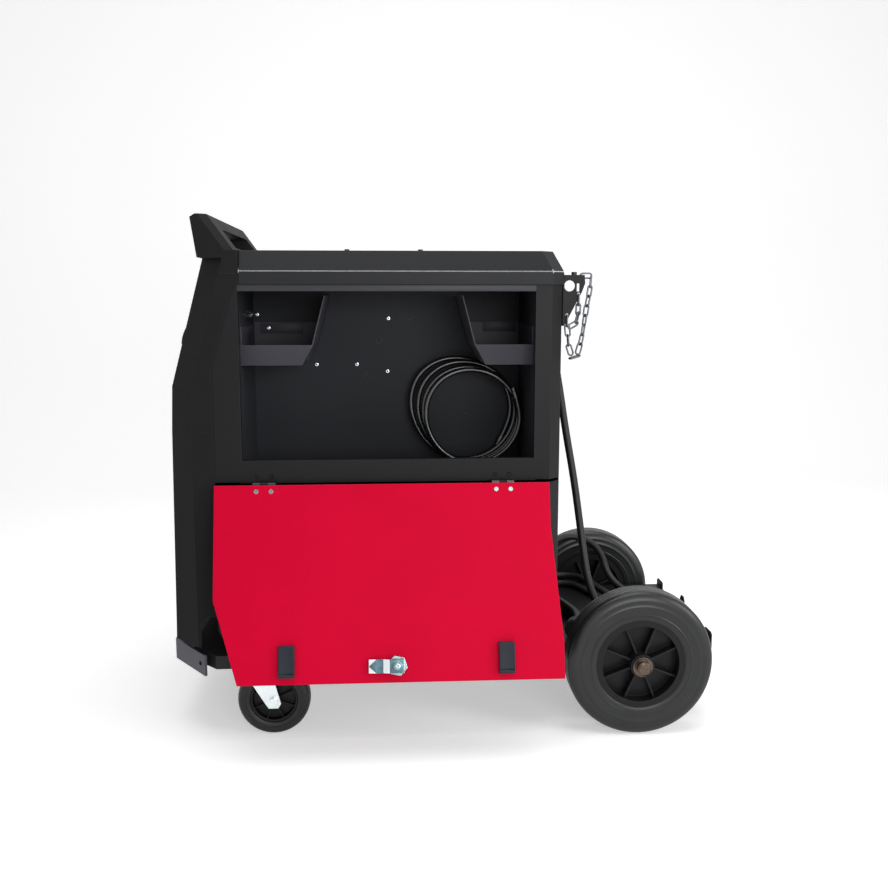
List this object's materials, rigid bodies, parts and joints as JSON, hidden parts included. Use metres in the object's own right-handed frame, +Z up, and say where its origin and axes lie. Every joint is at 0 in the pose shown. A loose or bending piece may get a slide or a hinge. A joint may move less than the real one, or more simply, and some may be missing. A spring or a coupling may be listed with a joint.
{
  "type": "mig welder on cart",
  "caption": "Wheeled MIG welder cart with an open tool store, leaned front panel, gas cylinder deck with bracket and chain, and a coiled mains cord.",
  "frame": {"origin": "on the floor, under the middle of the bounding box of the machine at rest with its tool door hanging open", "axes": "+X from the control panel to the cylinder deck, +Y from the tool store side to the wire side, +Z up"},
  "size_m": [0.953, 0.6042, 0.881],
  "materials": {
    "tyre": "matt",
    "rim": "satin",
    "caster_wheel": "matt",
    "zinc": "satin",
    "axle_cap": "satin",
    "black_steel": "satin",
    "lid_steel": "fine textured powder coat",
    "bumper_steel": "satin",
    "red_steel": "gloss",
    "bezel_plastic": "fine grain",
    "tray_plastic": "fine grain",
    "panel_face": "satin",
    "knob": "satin",
    "switch": "gloss",
    "socket_brass": "satin",
    "block_rubber": "matt",
    "cord_rubber": "satin",
    "hose_rubber": "gloss",
    "spool_wire": "satin",
    "drive_cast": "satin",
    "steel": "satin",
    "core": "varnished",
    "heat_aluminium": "satin",
    "board": "satin",
    "fan_plastic": "satin",
    "valve_brass": "satin"
  },
  "bodies": {
    "machine": {"axle": "steel", "axle_caps": "axle_cap", "caster_plates": "zinc", "base_pan": "black_steel", "front_bumper": "bumper_steel", "cylinder_platform": "black_steel", "tool_side_frame": "black_steel", "tool_side_panel": "black_steel", "wire_side_frame": "black_steel", "wire_side_panel": "black_steel", "rear_panel": "black_steel", "lid": "lid_steel", "centre_divider": "black_steel", "bay_liners": "black_steel", "front_tray": "tray_plastic", "rear_tray": "tray_plastic", "lower_bezel": "bezel_plastic", "upper_bezel": "bezel_plastic", "handle": "bezel_plastic", "control_panel": "panel_face", "gun_socket": "socket_brass", "output_sockets": "socket_brass", "hinge_frame_leaves": "zinc", "cylinder_bracket": "black_steel", "case_screws": "steel", "spool_spindle": "steel", "wire_drive": "drive_cast", "transformer": "core", "heat_sink": "heat_aluminium", "control_board": "board", "fan_grille": "fan_plastic", "gas_valve": "valve_brass", "power_cord": "cord_rubber", "cord_bundle": "cord_rubber", "cord_strain_relief": "cord_rubber", "power_plug": "cord_rubber", "gas_hose": "hose_rubber", "chain": "zinc"},
    "near_wheel": {"near_tyre": "tyre", "near_rim": "rim"},
    "far_wheel": {"far_tyre": "tyre", "far_rim": "rim"},
    "near_caster": {"near_caster_fork": "zinc"},
    "far_caster": {"far_caster_fork": "zinc"},
    "near_roller": {"near_caster_wheel": "caster_wheel"},
    "far_roller": {"far_caster_wheel": "caster_wheel"},
    "tool_door": {"tool_door": "red_steel", "tool_door_fittings": "zinc", "door_bumpers": "block_rubber"},
    "tool_latch": {"latch_cam": "zinc"},
    "wire_door": {"wire_door": "red_steel", "wire_door_fittings": "zinc"},
    "wire_latch": {"wire_latch_cam": "zinc"},
    "spool": {"wire_spool": "spool_wire"},
    "drive_roller": {"drive_roll": "steel"},
    "pressure_arm": {"pressure_arm": "steel"},
    "fan": {"fan_blades": "fan_plastic"},
    "voltage_knob": {"voltage_knob": "knob"},
    "wire_speed_knob": {"wire_speed_knob": "knob"},
    "power_switch": {"power_switch": "switch"}
  },
  "joints": [
    {"name": "near_wheel_spin", "type": "hinge", "parent": "machine", "child": "near_wheel", "pos_m": [0.3305, -0.18792, 0.127], "axis": [0, 1, 0], "continuous": true},
    {"name": "far_wheel_spin", "type": "hinge", "parent": "machine", "child": "far_wheel", "pos_m": [0.3305, 0.25008, 0.127], "axis": [0, 1, 0], "continuous": true},
    {"name": "near_caster_swivel", "type": "hinge", "parent": "machine", "child": "near_caster", "pos_m": [-0.3315, -0.15892, 0.13], "axis": [0, 0, 1], "continuous": true},
    {"name": "far_caster_swivel", "type": "hinge", "parent": "machine", "child": "far_caster", "pos_m": [-0.3315, 0.22108, 0.13], "axis": [0, 0, 1], "continuous": true},
    {"name": "near_caster_roll", "type": "hinge", "parent": "near_caster", "child": "near_roller", "pos_m": [-0.2995, -0.15892, 0.0625], "axis": [0, 1, 0], "continuous": true},
    {"name": "far_caster_roll", "type": "hinge", "parent": "far_caster", "child": "far_roller", "pos_m": [-0.2995, 0.22108, 0.0625], "axis": [0, 1, 0], "continuous": true},
    {"name": "tool_door_hinge", "type": "hinge", "parent": "machine", "child": "tool_door", "pos_m": [-0.09, -0.20292, 0.446], "axis": [-1, 0, 0], "range_deg": [0, 165]},
    {"name": "tool_latch_turn", "type": "hinge", "parent": "tool_door", "child": "tool_latch", "pos_m": [-0.0875, -0.29859, 0.16623], "axis": [0, -0.9659, 0.2588], "range_deg": [0, 90]},
    {"name": "wire_door_hinge", "type": "hinge", "parent": "machine", "child": "wire_door", "pos_m": [-0.09, 0.26508, 0.446], "axis": [-1, 0, 0], "range_deg": [0, 165]},
    {"name": "wire_latch_turn", "type": "hinge", "parent": "wire_door", "child": "wire_latch", "pos_m": [-0.0875, 0.245, 0.741], "axis": [0, 1, 0], "range_deg": [0, 90]},
    {"name": "spool_spin", "type": "hinge", "parent": "machine", "child": "spool", "pos_m": [-0.0265, 0.12108, 0.612], "axis": [0, 1, 0], "continuous": true},
    {"name": "drive_roll_spin", "type": "hinge", "parent": "machine", "child": "drive_roller", "pos_m": [-0.2685, 0.07658, 0.56], "axis": [0, 1, 0], "continuous": true},
    {"name": "pressure_arm_lift", "type": "hinge", "parent": "machine", "child": "pressure_arm", "pos_m": [-0.3025, 0.07658, 0.586], "axis": [0, -1, 0], "range_deg": [0, 60]},
    {"name": "fan_spin", "type": "hinge", "parent": "machine", "child": "fan", "pos_m": [0.1615, -0.02892, 0.27], "axis": [1, 0, 0], "continuous": true},
    {"name": "voltage_knob_turn", "type": "hinge", "parent": "machine", "child": "voltage_knob", "pos_m": [-0.42894, -0.04892, 0.675], "axis": [-0.965, 0, 0.2622], "range_deg": [-135, 135]},
    {"name": "wire_speed_knob_turn", "type": "hinge", "parent": "machine", "child": "wire_speed_knob", "pos_m": [-0.42894, 0.03108, 0.675], "axis": [-0.965, 0, 0.2622], "range_deg": [-135, 135]},
    {"name": "power_switch_rock", "type": "hinge", "parent": "machine", "child": "power_switch", "pos_m": [-0.42997, 0.11908, 0.65595], "axis": [0, -1, 0], "range_deg": [0, 14]}
  ]
}
